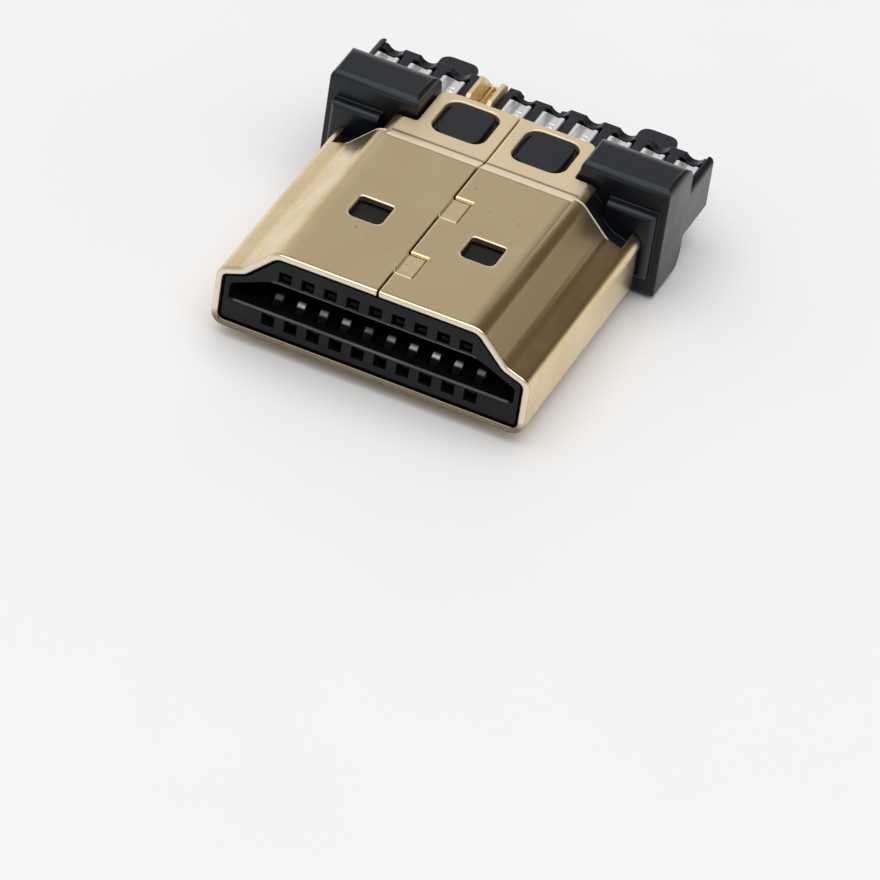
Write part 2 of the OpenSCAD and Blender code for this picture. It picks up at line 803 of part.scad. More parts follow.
module rear_block() {
    color(charcoal) place() difference() {
        union() {
            deep(split_y, ear_y + 2 * lap) polygon(section_at(nose_inset));
            both_sides() {
                ear();
                flange();
                rear_tab();
            }
            bridge();
            comb();
            both_faces() both_sides() tall(tail_under - lap, tail_top - boss_sink) boss();
        }
        for (i = [1:upper_count])
            contact_space(front_x(i, upper_count), place_x(upper_place(i)), upper_strip_z);
        mirror([0, 0, 1])
            for (i = [1:lower_count])
                contact_space(front_x(i, lower_count), place_x(i), lower_strip_z);
        drain_space();
        translate([recess_x, 0, 0]) tall(-block_h, block_h)
            polygon(box2([-recess_w / 2, comb_end - recess_t], [recess_w / 2, comb_end + past]));
    }
}

shell();
front_insulator();
rear_block();
for (i = [1:upper_count])
    upper_contact(i);
for (i = [1:lower_count])
    lower_contact(i);
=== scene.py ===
import math

import bmesh
import bpy
import numpy as np
from mathutils import Matrix, Vector


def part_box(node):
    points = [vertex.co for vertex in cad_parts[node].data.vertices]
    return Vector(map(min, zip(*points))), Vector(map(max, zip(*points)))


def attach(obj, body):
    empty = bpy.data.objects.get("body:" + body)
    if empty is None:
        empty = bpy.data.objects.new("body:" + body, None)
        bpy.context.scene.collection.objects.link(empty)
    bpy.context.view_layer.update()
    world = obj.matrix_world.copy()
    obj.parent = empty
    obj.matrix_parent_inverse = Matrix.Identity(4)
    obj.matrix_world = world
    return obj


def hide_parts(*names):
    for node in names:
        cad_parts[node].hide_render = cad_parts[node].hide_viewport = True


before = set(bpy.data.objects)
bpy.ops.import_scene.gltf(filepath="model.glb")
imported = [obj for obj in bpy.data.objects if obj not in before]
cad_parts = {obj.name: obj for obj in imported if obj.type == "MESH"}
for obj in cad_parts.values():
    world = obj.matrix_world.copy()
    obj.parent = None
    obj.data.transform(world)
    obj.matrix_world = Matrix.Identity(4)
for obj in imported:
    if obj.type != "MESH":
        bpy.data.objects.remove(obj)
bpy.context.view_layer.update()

mm = 0.001
shellLow, shellHigh = (np.array(corner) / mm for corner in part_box("shell"))
frontEdge = shellLow[1]  # depth of the shell's front edge, in millimetres
print("frame loaded with", len(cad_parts), "nodes")

# camera: where it stands and the directions of its picture, fitted to the plug's known sizes
cameraSet = {
    "spot": (0.084616, -0.250907, 0.195984),
    "right": (0.905476, 0.405783, 0.124314),
    "up": (-0.341612, 0.523070, 0.780833),
    "back": (0.251824, -0.749492, 0.612247),
    "lens": 327.27,
    "sensor": 36.0,
    "clip": (0.01, 20.0),
}


def makeCamera(put):
    data = bpy.data.cameras.new("studioCamera")
    data.lens = put["lens"]
    data.sensor_width = put["sensor"]
    data.clip_start, data.clip_end = put["clip"]
    camera = bpy.data.objects.new("studioCamera", data)
    turn = Matrix((put["right"], put["up"], put["back"])).transposed()
    camera.matrix_world = Matrix.Translation(put["spot"]) @ turn.to_4x4()
    bpy.context.scene.collection.objects.link(camera)
    bpy.context.scene.camera = camera


makeCamera(cameraSet)
print("camera set")


# node helpers: one call makes a node with its settings, another joins two sockets
def addNode(tree, kind, inputs=None, **settings):
    node = tree.nodes.new(kind)
    for key, value in settings.items():
        setattr(node, key, value)
    for key, value in (inputs or {}).items():
        node.inputs[key].default_value = value
    return node


def join(tree, start, end):
    tree.links.new(start, end)


def ramp(tree, source, stops):
    node = addNode(tree, "ShaderNodeValToRGB")
    bar = node.color_ramp
    while len(bar.elements) < len(stops):
        bar.elements.new(0.5)
    for element, (place, tone) in zip(bar.elements, stops):
        element.position = place
        element.color = (*tone, 1.0) if isinstance(tone, tuple) else (tone, tone, tone, 1.0)
    join(tree, source, node.inputs["Fac"])
    return node.outputs["Color"]


def rescale(tree, source, low, high, toLow, toHigh, curve="LINEAR"):
    node = addNode(tree, "ShaderNodeMapRange", interpolation_type=curve)
    for key, value in zip(("From Min", "From Max", "To Min", "To Max"), (low, high, toLow, toHigh)):
        node.inputs[key].default_value = value
    join(tree, source, node.inputs["Value"])
    return node.outputs["Result"]


def blendTone(tree, share, base, over):
    mix = addNode(tree, "ShaderNodeMix", data_type="RGBA")
    join(tree, share, mix.inputs["Factor"])
    join(tree, base, mix.inputs["A"])
    mix.inputs["B"].default_value = (*over, 1.0)
    return mix.outputs["Result"]


def arith(tree, operation, first, second):
    node = addNode(tree, "ShaderNodeMath", operation=operation)
    for socket, value in zip(node.inputs, (first, second)):
        if isinstance(value, (int, float)):
            socket.default_value = value
        else:
            join(tree, value, socket)
    return node.outputs["Value"]


# masks: the three axes of a place, the distance from a spot, a band that fades at its edges, and a product of masks
def axesOf(tree, place):
    split = addNode(tree, "ShaderNodeSeparateXYZ")
    join(tree, place, split.inputs["Vector"])
    return [split.outputs[axis] for axis in "XYZ"]


def distance(tree, value, spot):
    return arith(tree, "ABSOLUTE", arith(tree, "SUBTRACT", value, spot), 0.0)


def band(tree, value, mark):
    away = distance(tree, value, mark["at"])
    return rescale(tree, away, mark["core"] * mark["half"], mark["half"], mark["share"], 0.0)


def product(tree, first, *others):
    for other in others:
        first = arith(tree, "MULTIPLY", first, other)
    return first


# finishes are on Object coordinates; each noise is given as its features for each metre and its detail
def finishBase(name):
    finish = bpy.data.materials.new(name)
    finish.use_nodes = True
    tree = finish.node_tree
    place = addNode(tree, "ShaderNodeTexCoord")
    return finish, tree, tree.nodes["Principled BSDF"], place.outputs["Object"]


def noise(tree, place, scale, detail, stretch=None):
    if stretch:
        mapping = addNode(tree, "ShaderNodeMapping", {"Scale": stretch})
        join(tree, place, mapping.inputs["Vector"])
        place = mapping.outputs["Vector"]
    node = addNode(tree, "ShaderNodeTexNoise", {"Scale": scale, "Detail": detail})
    join(tree, place, node.inputs["Vector"])
    return node.outputs["Fac"]


def bump(tree, height, depth, shader, before=None):
    node = addNode(tree, "ShaderNodeBump", {"Strength": 1.0, "Distance": depth})
    join(tree, height, node.inputs["Height"])
    if before:
        join(tree, before, node.inputs["Normal"])
    join(tree, node.outputs["Normal"], shader.inputs["Normal"])
    return node.outputs["Normal"]


# soft studio room: bright towards the horizon, dimmer above it, with a dim warm corner to the right
# and a dim patch round the camera
roomSet = {
    "bands": [(0.0, 0.95), (0.2, 0.83), (0.45, 0.55), (0.62, 0.46), (0.85, 0.64), (1.0, 0.85)],
    "dims": [
        {"towards": (0.387, 0.762, 0.520), "from": 0.815, "to": 0.985, "tone": (0.105, 0.084, 0.059)},
        {"towards": (0.252, -0.749, 0.612), "from": 0.84, "to": 0.95, "tone": (0.22, 0.20, 0.18)},
    ],
    "strength": 1.0,
}


def makeRoom(put):
    world = bpy.data.worlds.new("studioRoom")
    world.use_nodes = True
    tree = world.node_tree
    tree.nodes.clear()
    where = addNode(tree, "ShaderNodeTexCoord")
    _, _, height = axesOf(tree, where.outputs["Generated"])
    tone = ramp(tree, height, put["bands"])
    for dim in put["dims"]:
        corner = addNode(tree, "ShaderNodeVectorMath", operation="DOT_PRODUCT")
        corner.inputs[1].default_value = Vector(dim["towards"]).normalized()
        join(tree, where.outputs["Generated"], corner.inputs[0])
        share = rescale(tree, corner.outputs["Value"], dim["from"], dim["to"], 0.0, 1.0, "SMOOTHSTEP")
        tone = blendTone(tree, share, tone, dim["tone"])
    shade = addNode(tree, "ShaderNodeBackground", {"Strength": put["strength"]})
    join(tree, tone, shade.inputs["Color"])
    end = addNode(tree, "ShaderNodeOutputWorld")
    join(tree, shade.outputs["Background"], end.inputs["Surface"])
    bpy.context.scene.world = world


lampSet = {"spot": (0.02, -0.08, 0.60), "size": 1.0, "power": 2.9}


def makeLamp(name, put):
    data = bpy.data.lights.new(name, "AREA")
    data.shape = "DISK"
    data.size = put["size"]
    data.energy = put["power"]
    lamp = bpy.data.objects.new(name, data)
    aim = (-Vector(put["spot"])).to_track_quat("-Z", "Y")
    lamp.matrix_world = Matrix.Translation(put["spot"]) @ aim.to_matrix().to_4x4()
    bpy.context.scene.collection.objects.link(lamp)


makeRoom(roomSet)
makeLamp("topLamp", lampSet)
view = bpy.context.scene.view_settings
view.view_transform = "Standard"
view.look = "None"
print("room and lamp set")

floorSet = {
    "half": 1.5,
    "tone": (0.915, 0.915, 0.925),
    "fleck": 0.985,
    "span": (0.3, 0.7),
    "rough": 0.6,
    "grain": (90.0, 3.0),
}


def makeFloor(put):
    reach = put["half"]
    mesh = bpy.data.meshes.new("paleFloor")
    corners = [(-reach, -reach, 0), (reach, -reach, 0), (reach, reach, 0), (-reach, reach, 0)]
    mesh.from_pydata(corners, [], [(0, 1, 2, 3)])
    floor = bpy.data.objects.new("paleFloor", mesh)
    bpy.context.scene.collection.objects.link(floor)
    card, tree, shader, place = finishBase("paleCard")
    shader.inputs["Roughness"].default_value = put["rough"]
    low = tuple(put["fleck"] * c for c in put["tone"])
    tone = ramp(tree, noise(tree, place, *put["grain"]), [*zip(put["span"], (low, put["tone"]))])
    join(tree, tone, shader.inputs["Base Color"])
    mesh.materials.append(card)


makeFloor(floorSet)
print("floor laid")


# gold plating: clouded tone, a few specks, a tail painted paler and a step painted brighter (painted reflection and
# painted highlight), a pale cut rim with painted dark reflection behind it and below, painted highlights along the
# seam and round the holes, coined locks and painted shade in the creases at the step's head and foot
platingSet = {
    "pale": (0.85, 0.68, 0.42),
    "deep": (0.76, 0.58, 0.33),
    "patch": (420.0, 3.0),
    "patchSpan": (0.3, 0.7),
    "patchLift": (-0.1, 0.5),
    "mottle": (5200.0, 4.0),
    "mottleShare": 0.6,
    "cloudSpan": (0.2, 0.8),
    "rough": (0.27, 0.19),
    "wave": (600.0, 2.0),
    "waveDepth": 0.000004,
    "grainDepth": 0.0000009,
    "speck": (2300.0, 1.0),
    "speckSpan": (0.775, 0.80),
    "speckShare": 0.7,
    "speckTone": (0.34, 0.25, 0.14),
    "fade": 0.05 * mm,
    "tailFrom": (frontEdge + 9.97) * mm,
    "tailTo": (frontEdge + 10.05) * mm,
    "tailHalf": 4.15 * mm,
    "tailFade": 1.03,
    "tailShare": 0.8,
    # painted reflection: the tail plates are painted paler to stand in for their brighter reflection
    "tailReflectionTone": (0.87, 0.735, 0.52),
    "tailRough": 0.27,
    "rampTo": (frontEdge + 10.68) * mm,
    "rampShare": 0.9,
    # painted highlight: the step's ramp is painted brighter
    "rampHighlightTone": (1.0, 0.87, 0.67),
    "rimTo": (frontEdge + 0.09) * mm,
    "rimShare": 0.8,
    "rimTone": (0.82, 0.72, 0.61),
    # painted dark reflection: a dark band just behind the rim
    "stain": {"at": (frontEdge + 0.15) * mm, "half": 0.05 * mm, "core": 0.2, "share": 0.6},
    "stainTone": (0.40, 0.31, 0.19),
    "rimLow": (shellLow[2] + 0.36) * mm,
    "rimHigh": (shellLow[2] + 0.75) * mm,
    "lowTo": (frontEdge + 0.32) * mm,
    "lowFade": 0.1 * mm,
    "lowShare": 0.9,
    # painted dark reflection: the rim's lower part is painted dark brown
    "lowDarkReflectionTone": (0.16, 0.125, 0.08),
    "lip": {"at": 0.085 * mm, "half": 0.055 * mm, "core": 0.6, "share": 0.8},
    "lipFrom": (shellHigh[2] - 0.3) * mm,
    # painted highlight along the seam's lip
    "lipHighlightTone": (0.97, 0.83, 0.60),
    "locks": ((frontEdge + 2.355) * mm, (frontEdge + 6.795) * mm),
    "lockHalf": 0.775 * mm,
    "lockReach": (0.03 * mm, 0.84 * mm),
    "lockSpan": (0.4, 0.6),
    "lockShare": (0.2, 0.9),
    "lockTone": (0.90, 0.72, 0.47),
    "lockRough": 0.08,
    "hole": (2.5 * mm, (frontEdge + 4.82) * mm),
    "holeHalf": 0.75 * mm,
    "holeRound": 0.22 * mm,
    "holeEdge": {"at": 0.045 * mm, "half": 0.06 * mm, "core": 0.5, "share": 0.8},
    # painted highlight round the latch holes
    "holeHighlightTone": (1.0, 0.85, 0.60),
    "cut": {"at": (frontEdge + 10.27) * mm, "half": 0.12 * mm, "core": 0.6, "share": 0.85},
    "cutFrom": (shellLow[2] + shellHigh[2]) / 2 * mm,
    "cutReach": 5.85 * mm,
    "cutFade": 1.02,
    "cutRough": 0.5,
    # painted highlight on the cut rear edge of the slants
    "cutHighlightTone": (1.0, 0.93, 0.80),
    "crease": {"at": (frontEdge + 10.76) * mm, "half": 0.12 * mm, "core": 0.2, "share": 0.8},
    "brow": {"at": (frontEdge + 9.93) * mm, "half": 0.06 * mm, "core": 0.2, "share": 0.3},
    # painted shade in the creases at the step's head and foot
    "creaseShadeTone": (0.24, 0.17, 0.09),
}


def makePlating(name, put):
    finish, tree, shader, place = finishBase(name)
    shader.inputs["Metallic"].default_value = 1.0
    patch = rescale(tree, noise(tree, place, *put["patch"]), *put["patchSpan"], *put["patchLift"])
    mottle = noise(tree, place, *put["mottle"])
    cloud = arith(tree, "ADD", product(tree, mottle, put["mottleShare"]), patch)
    tone = ramp(tree, cloud, [*zip(put["cloudSpan"], (put["deep"], put["pale"]))])
    x, y, z = axesOf(tree, place)
    reach = arith(tree, "ABSOLUTE", x, 0.0)

    # tail plates painted paler as a painted reflection, and a painted highlight on the step that leads to them
    inside = rescale(tree, reach, put["tailHalf"], put["tailFade"] * put["tailHalf"], 1.0, 0.0)
    behind = rescale(tree, y, put["tailFrom"], put["tailTo"], 0.0, 1.0, "SMOOTHSTEP")
    tail = product(tree, inside, behind)
    tone = blendTone(tree, product(tree, tail, put["tailShare"]), tone, put["tailReflectionTone"])
    sloped = rescale(tree, y, put["rampTo"] - put["fade"], put["rampTo"], put["rampShare"], 0.0)
    tone = blendTone(tree, product(tree, tail, sloped), tone, put["rampHighlightTone"])

    # pale cut rim, a painted dark reflection just behind it and a darker foot, also a painted dark reflection
    rim = rescale(tree, y, put["rimTo"] - put["fade"], put["rimTo"], put["rimShare"], 0.0)
    tone = blendTone(tree, rim, tone, put["rimTone"])
    tone = blendTone(tree, band(tree, y, put["stain"]), tone, put["stainTone"])
    under = rescale(tree, z, put["rimLow"], put["rimHigh"], 1.0, 0.0)
    ahead = rescale(tree, y, put["lowTo"] - put["lowFade"], put["lowTo"], put["lowShare"], 0.0)
    tone = blendTone(tree, product(tree, under, ahead), tone, put["lowDarkReflectionTone"])

    # painted highlight along the seam's lip, left out at the locks, which have a coined face of their own
    clear = [arith(tree, "GREATER_THAN", distance(tree, y, spot), put["lockHalf"]) for spot in put["locks"]]
    clear = product(tree, *clear)
    crown = arith(tree, "GREATER_THAN", z, put["lipFrom"])
    tone = blendTone(tree, product(tree, band(tree, x, put["lip"]), clear, crown), tone, put["lipHighlightTone"])
    right = arith(tree, "GREATER_THAN", x, put["lockReach"][0])
    left = arith(tree, "LESS_THAN", x, put["lockReach"][1])
    lock = product(tree, right, left, arith(tree, "SUBTRACT", crown, clear))
    lock = arith(tree, "MAXIMUM", lock, 0.0)
    coined = product(tree, lock, rescale(tree, mottle, *put["lockSpan"], *put["lockShare"]))
    tone = blendTone(tree, coined, tone, put["lockTone"])

    # painted highlight on the latch holes' edges: a band round a square with rounded corners
    flat = put["holeHalf"] - put["holeRound"]
    away = [distance(tree, reach, put["hole"][0]), distance(tree, y, put["hole"][1])]
    corner = [arith(tree, "MAXIMUM", arith(tree, "SUBTRACT", size, flat), 0.0) for size in away]
    square = arith(tree, "ADD", *(arith(tree, "POWER", size, 2.0) for size in corner))
    past = arith(tree, "SUBTRACT", arith(tree, "POWER", square, 0.5), put["holeRound"])
    edge = band(tree, past, put["holeEdge"])
    tone = blendTone(tree, edge, tone, put["holeHighlightTone"])

    # painted highlight on the cut edge at the rear of the slants, and painted shade in the creases at the step's
    # head and foot
    beside = rescale(tree, reach, put["cutReach"], put["cutFade"] * put["cutReach"], 1.0, 0.0)
    beside = product(tree, beside, arith(tree, "SUBTRACT", 1.0, inside))
    upper = arith(tree, "GREATER_THAN", z, put["cutFrom"])
    cut = product(tree, beside, band(tree, y, put["cut"]), upper)
    tone = blendTone(tree, cut, tone, put["cutHighlightTone"])
    crease = arith(tree, "ADD", band(tree, y, put["crease"]), band(tree, y, put["brow"]))
    tone = blendTone(tree, product(tree, inside, crease), tone, put["creaseShadeTone"])

    # specks over everything, then roughness and relief
    spots = rescale(tree, noise(tree, place, *put["speck"]), *put["speckSpan"], 0.0, put["speckShare"])
    join(tree, blendTone(tree, spots, tone, put["speckTone"]), shader.inputs["Base Color"])
    rough = rescale(tree, cloud, *put["cloudSpan"], *put["rough"])
    dull = product(tree, tail, put["tailRough"])
    dull = arith(tree, "MAXIMUM", dull, product(tree, cut, put["cutRough"]))
    dull = arith(tree, "MAXIMUM", dull, product(tree, arith(tree, "MAXIMUM", lock, edge), put["lockRough"]))
    join(tree, arith(tree, "ADD", rough, dull), shader.inputs["Roughness"])
    wave = bump(tree, noise(tree, place, *put["wave"]), put["waveDepth"], shader)
    bump(tree, mottle, put["grainDepth"], shader, wave)
    return finish


# moulded black plastic: faint clouding and a fine grain, with painted highlight lines along the cavity's edges
plasticSet = {
    "block": {
        "dark": (0.0035, 0.0045, 0.0065), "pale": (0.006, 0.0075, 0.0105), "rough": (0.38, 0.27), "gloss": 0.42,
    },
    "insulator": {
        "dark": (0.003, 0.003, 0.0035), "pale": (0.006, 0.006, 0.007), "rough": (0.5, 0.36), "gloss": 0.24,
    },
    # painted highlights: pale lines along the cavity's front edges
    "edgeHighlights": [
        {"low": 1.862 * mm, "high": 1.94 * mm, "half": 6.1 * mm, "tone": (0.13, 0.13, 0.135)},
        {"low": 3.455 * mm, "high": 3.53 * mm, "half": 4.5 * mm, "tone": (0.085, 0.088, 0.092)},
    ],
    "edgeHighlightTo": (frontEdge + 0.22) * mm,
    "edgeHighlightShare": (0.5, 1.0),
    "sheen": (0.84, 0.92, 1.0),
    "cloud": (500.0, 3.0),
    "cloudSpan": (0.3, 0.7),
    "grain": (9000.0, 2.0),
    "grainDepth": 0.000002,
}


def makePlastic(name, put, shared, edgeHighlights=()):
    finish, tree, shader, place = finishBase(name)
    shader.inputs["Specular IOR Level"].default_value = put["gloss"]
    shader.inputs["Specular Tint"].default_value = (*shared["sheen"], 1.0)
    cloud = noise(tree, place, *shared["cloud"])
    grain = noise(tree, place, *shared["grain"])
    span = shared["cloudSpan"]
    tone = ramp(tree, cloud, [*zip(span, (put["dark"], put["pale"]))])
    # painted highlight lines on the insulator's cavity edges
    for edge in edgeHighlights:
        x, y, z = axesOf(tree, place)
        line = product(
            tree,
            arith(tree, "LESS_THAN", y, shared["edgeHighlightTo"]),
            arith(tree, "GREATER_THAN", z, edge["low"]),
            arith(tree, "LESS_THAN", z, edge["high"]),
            arith(tree, "LESS_THAN", arith(tree, "ABSOLUTE", x, 0.0), edge["half"]),
            rescale(tree, cloud, *span, *shared["edgeHighlightShare"]),
        )
        tone = blendTone(tree, line, tone, edge["tone"])
    join(tree, tone, shader.inputs["Base Color"])
    join(tree, rescale(tree, cloud, *span, *put["rough"]), shader.inputs["Roughness"])
    bump(tree, grain, shared["grainDepth"], shader)
    return finish


# tin: faint streaks along the strips, satin on the cups, painted shade ahead of them with a painted glint band on
# the noses
tinSet = {
    "pale": (0.96, 0.965, 0.975),
    "dull": (0.84, 0.85, 0.87),
    # painted shade: the strips ahead of the cups are near black
    "strip": (0.022, 0.022, 0.024),
    "stripRough": 0.35,
    "stripFrom": (frontEdge + 9.0) * mm,
    "stripTo": (frontEdge + 7.0) * mm,
    # painted glint: a bright band across the noses
    "nose": {"at": (frontEdge + 1.10) * mm, "half": 0.12 * mm, "core": 0.4, "share": 1.0},
    "noseGlintTone": (1.0, 1.0, 0.99),
    "glintNoise": (640.0, 1.0),
    "glintNoiseSpan": (0.35, 0.65),
    "glintNoiseShare": (0.3, 1.0),
    "streak": (2600.0, 4.0),
    "stretch": (1.0, 0.18, 1.0),
    "toneSpan": (0.3, 0.65),
    "roughSpan": (0.3, 0.7),
    "rough": (0.5, 0.36),
    "depth": 0.000002,
}


def makeTin(name, put):
    finish, tree, shader, place = finishBase(name)
    shader.inputs["Metallic"].default_value = 1.0
    streak = noise(tree, place, *put["streak"], put["stretch"])
    tone = ramp(tree, streak, [*zip(put["toneSpan"], (put["dull"], put["pale"]))])
    _, y, _ = axesOf(tree, place)
    # painted shade ahead of the cups
    strip = rescale(tree, y, put["stripTo"], put["stripFrom"], 1.0, 0.0)
    tone = blendTone(tree, strip, tone, put["strip"])
    glintNoise = rescale(tree, noise(tree, place, *put["glintNoise"]), *put["glintNoiseSpan"], *put["glintNoiseShare"])
    # painted glint on the noses
    noseGlint = product(tree, glintNoise, band(tree, y, put["nose"]))
    join(tree, blendTone(tree, noseGlint, tone, put["noseGlintTone"]), shader.inputs["Base Color"])
    rough = rescale(tree, streak, *put["roughSpan"], *put["rough"])
    matt = product(tree, strip, arith(tree, "SUBTRACT", 1.0, noseGlint), put["stripRough"])
    join(tree, arith(tree, "ADD", rough, matt), shader.inputs["Roughness"])
    bump(tree, streak, put["depth"], shader)
    return finish


# the drain cup's ridges are plated in a richer gold
richGold = {
    # the drain's tail tone is a painted reflection too, in a richer gold
    "pale": (0.92, 0.66, 0.26), "deep": (0.74, 0.47, 0.14), "tailReflectionTone": (0.92, 0.68, 0.30), "tailRough": 0.0,
}
goldPlating = makePlating("goldPlating", platingSet)
drainPlating = makePlating("drainPlating", {**platingSet, **richGold})
blockPlastic = makePlastic("blockPlastic", plasticSet["block"], plasticSet)
insulatorPlastic = makePlastic("insulatorPlastic", plasticSet["insulator"], plasticSet, plasticSet["edgeHighlights"])
tinPlating = makeTin("tinPlating", tinSet)
print("finishes made")


def addPiece(mesh, slot, finish, *nodes):
    mesh.materials.clear()
    mesh.materials.append(finish)
    piece = bpy.data.objects.new(mesh.name, mesh)
    bpy.context.scene.collection.objects.link(piece)
    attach(piece, "root")
    if nodes:
        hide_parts(*nodes)


# eased copies of the CAD nodes, worked on in millimetres: merged, flat faces joined, edges rounded
easeSet = {
    "shell": {
        "piece": "platedShell", "slot": "gold_plate", "finish": goldPlating,
        "radius": 0.06, "rim": 0.11, "rimDepth": 0.01, "fold": 0.12, "foldLength": 1.0, "foldAlong": 0.95,
        "seam": 0.05, "seamHalf": 0.95, "seamTop": 0.45, "side": 0.04, "sideHalf": 0.01,
        "lock": 0.12, "tab": 0.035, "tabDrop": (0.05, 0.15),
        "tail": 0.03, "tailFrom": 11.0, "tailEdge": 9.0, "tailSeam": 0.1,
        "window": 0.07, "windowFrom": 12.0, "windowTo": 14.3, "windowHalf": 3.1, "windowDrop": 0.3,
        "notch": 0.012, "notchHalf": 6.4, "notchLow": 2.7, "notchTop": 2.87,
        "neck": 0.008, "neckPlace": -2.28, "neckHalf": 0.7, "neckFrom": 14.4, "neckTo": 15.6,
        "bends": [
            {"from": 3.42, "to": 4.77, "turn": (0.0, 45.0), "curve": 2.5, "cuts": (3.42, 3.8)},
            {"from": 5.6, "to": 6.1, "turn": (45.0, 20.0), "curve": 1.0, "cuts": (5.6, 6.1)},
        ],
        "bendZone": {"facing": 0.5, "level": 0.1, "above": 3.2, "ahead": 9.9, "slack": 0.001},
        "step": {
            "from": 9.97, "to": 10.68, "turn": 18.0, "curve": 2.5, "cuts": (10.2, 10.45),
            "half": 4.3, "lead": 0.13, "facing": 0.85, "level": 0.1,
        },
    },
    "front_insulator": {
        "piece": "matingInsulator", "slot": "black_plastic", "finish": insulatorPlastic, "radius": 0.018,
    },
    "rear_block": {
        "piece": "combBlock", "slot": "black_plastic", "finish": blockPlastic,
        "radius": 0.05, "rail": 0.012, "railHalf": 7.3, "railFrom": 14.0,
    },
    "contact": {"slot": "tinned_metal", "finish": tinPlating, "radius": 0.03},
    "weld": 0.008,
    "flatAngle": 0.5,
    "edgeAngle": 32.0,
    "steps": 2,
}


# radius of an edge: its own on the front rim, along the seam, across the locks, on the tail, round the windows,
# at the side walls' notches and the drain's neck, and on the comb's rails
def edgeRadius(edge, put):
    middle = (edge.verts[0].co + edge.verts[1].co) / 2
    run = edge.verts[1].co - edge.verts[0].co
    across, deep, drop = abs(middle.x), middle.y - frontEdge, shellHigh[2] - middle.z
    if "rim" in put and deep < put["rimDepth"]:
        return put["rim"]
    if "seam" in put and across < put["seamHalf"] and drop < put["seamTop"]:
        if deep > put["tailEdge"] and across > put["tailSeam"]:
            return put["window"] if deep < put["windowTo"] else put["tail"]
        if abs(run.x) > abs(run.y):
            return put["tab"] if put["tabDrop"][0] < drop < put["tabDrop"][1] else put["lock"]
        return put["side"] if across < put["sideHalf"] else put["seam"]
    if "rail" in put and across > put["railHalf"] and deep > put["railFrom"]:
        return put["rail"]
    if "tail" in put and deep > put["tailFrom"]:
        if across > put["notchHalf"] and put["notchLow"] < middle.z < put["notchTop"]:
            return put["notch"]
        if abs(middle.x - put["neckPlace"]) < put["neckHalf"] and put["neckFrom"] < deep < put["neckTo"]:
            return put["neck"]
        gap = across < put["windowHalf"] and put["windowFrom"] < deep < put["windowTo"]
        return put["window"] if gap and drop < put["windowDrop"] else put["tail"]
    return put["radius"]


# points for the soft bends: the mesh is cut across x at each bend and across y on the step
def cutBends(mesh, put):
    cuts = [((side * x, 0, 0), (1, 0, 0)) for bend in put["bends"] for x in bend["cuts"] for side in (-1, 1)]
    cuts += [((0, frontEdge + deep, 0), (0, 1, 0)) for deep in put["step"]["cuts"]]
    work = bmesh.new()
    work.from_mesh(mesh)
    for spot, facing in cuts:
        whole = work.verts[:] + work.edges[:] + work.faces[:]
        bmesh.ops.bisect_plane(work, geom=whole, plane_co=spot, plane_no=facing)
    work.to_mesh(mesh)
    work.free()


# share of the way across a bend, from 0 at its start to 1 at its end, raised to the bend's curve
def bendShare(value, bend):
    return np.clip((value - bend["from"]) / (bend["to"] - bend["from"]), 0.0, 1.0) ** bend["curve"]


# the shell's bends and step turn softly: angle = start + (end - start) * share across the bend
def softenBends(normal, place, put):
    reach, deep = np.abs(place[:, 0]), place[:, 1] - frontEdge
    none = np.zeros(len(place))
    zone = put["bendZone"]
    outer = (normal[:, 2] > zone["facing"]) & (np.abs(normal[:, 1]) < zone["level"])
    outer &= (place[:, 2] > zone["above"]) & (deep < zone["ahead"])
    for bend in put["bends"]:
        first, last = bend["turn"]
        turn = np.radians(first + (last - first) * bendShare(reach, bend))
        soft = outer & (reach > bend["from"] - zone["slack"]) & (reach < bend["to"] + zone["slack"])
        bent = np.stack([np.sign(place[:, 0]) * np.sin(turn), none, np.cos(turn)], axis=1)
        normal[soft] = bent[soft]
    step = put["step"]
    turn = np.radians(step["turn"]) * bendShare(deep, step)
    side = np.sign(place[:, 2] - (shellLow[2] + shellHigh[2]) / 2)
    soft = (side * normal[:, 2] > step["facing"]) & (np.abs(normal[:, 0]) < step["level"])
    soft &= (reach < step["half"]) & (deep > step["from"] - step["lead"]) & (deep < step["to"])
    bent = np.stack([none, np.sin(turn), side * np.cos(turn)], axis=1)
    normal[soft] = bent[soft]


# shading normals: each point takes its faces' normals, weighted by the square of their areas
def weighNormals(mesh, put):
    if "bends" in put:
        cutBends(mesh, put)
    faces, corners, points = len(mesh.polygons), len(mesh.loops), len(mesh.vertices)
    facing, area, sides = np.empty(faces * 3), np.empty(faces), np.empty(faces, dtype=np.int32)
    corner, place = np.empty(corners, dtype=np.int32), np.empty(points * 3)
    mesh.polygons.foreach_get("normal", facing)
    mesh.polygons.foreach_get("area", area)
    mesh.polygons.foreach_get("loop_total", sides)
    mesh.loops.foreach_get("vertex_index", corner)
    mesh.vertices.foreach_get("co", place)
    owner = np.repeat(np.arange(faces), sides)
    normal = np.zeros((points, 3))
    np.add.at(normal, corner, (facing.reshape(-1, 3) * area[:, None] ** 2)[owner])
    normal /= np.maximum(np.linalg.norm(normal, axis=1, keepdims=True), 1e-20)
    if "bends" in put:
        softenBends(normal, place.reshape(-1, 3), put)
    mesh.normals_split_custom_set_from_vertices(normal)


